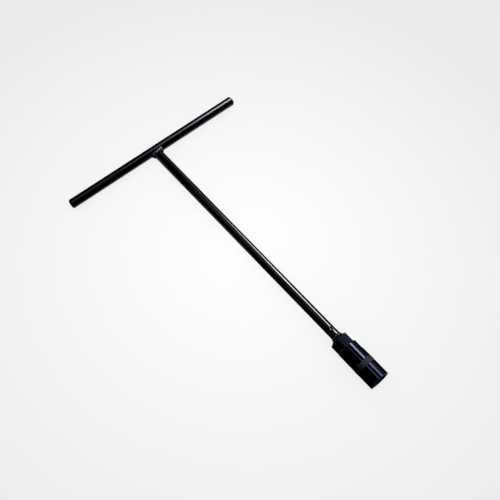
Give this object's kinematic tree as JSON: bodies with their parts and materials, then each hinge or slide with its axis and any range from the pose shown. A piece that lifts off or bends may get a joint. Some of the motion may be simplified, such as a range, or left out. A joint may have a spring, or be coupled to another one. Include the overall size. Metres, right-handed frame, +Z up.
{
  "type": "tap wrench",
  "caption": "T-handle wrench: round cross bar welded to a long round shank, with a deep hexagon-topped socket held on a square tang by a sprung ball.",
  "frame": {"origin": "on the surface the tool lies on, under the middle of its length", "axes": "+X along the shank from the handle to the socket's open end, +Y along the cross bar, +Z up"},
  "size_m": [0.3404, 0.214, 0.0218],
  "materials": {
    "black_rod": "gloss black",
    "black_weld": "gloss black over a rough weld bead",
    "black_socket": "gloss black, satin on the knurled band",
    "bright_steel": "polished",
    "black_rubber": "matt"
  },
  "bodies": {
    "handle": {"cross_bar": "black_rod", "t_weld": "black_weld", "shank": "black_rod", "detent_spring": "bright_steel"},
    "ball": {"detent_ball": "bright_steel"},
    "socket": {"socket": "black_socket", "grip_sleeve": "black_rubber"}
  },
  "joints": [
    {"name": "socket_pull", "type": "slide", "parent": "handle", "child": "socket", "axis": [1, 0, 0], "range_m": [0, 0.016]},
    {"name": "ball_press", "type": "slide", "parent": "handle", "child": "ball", "axis": [0, 0, -1], "range_m": [0, 0.00045], "stiffness_N_per_m": 3000, "springref_m": -0.0004, "deforming": ["detent_spring"]}
  ]
}
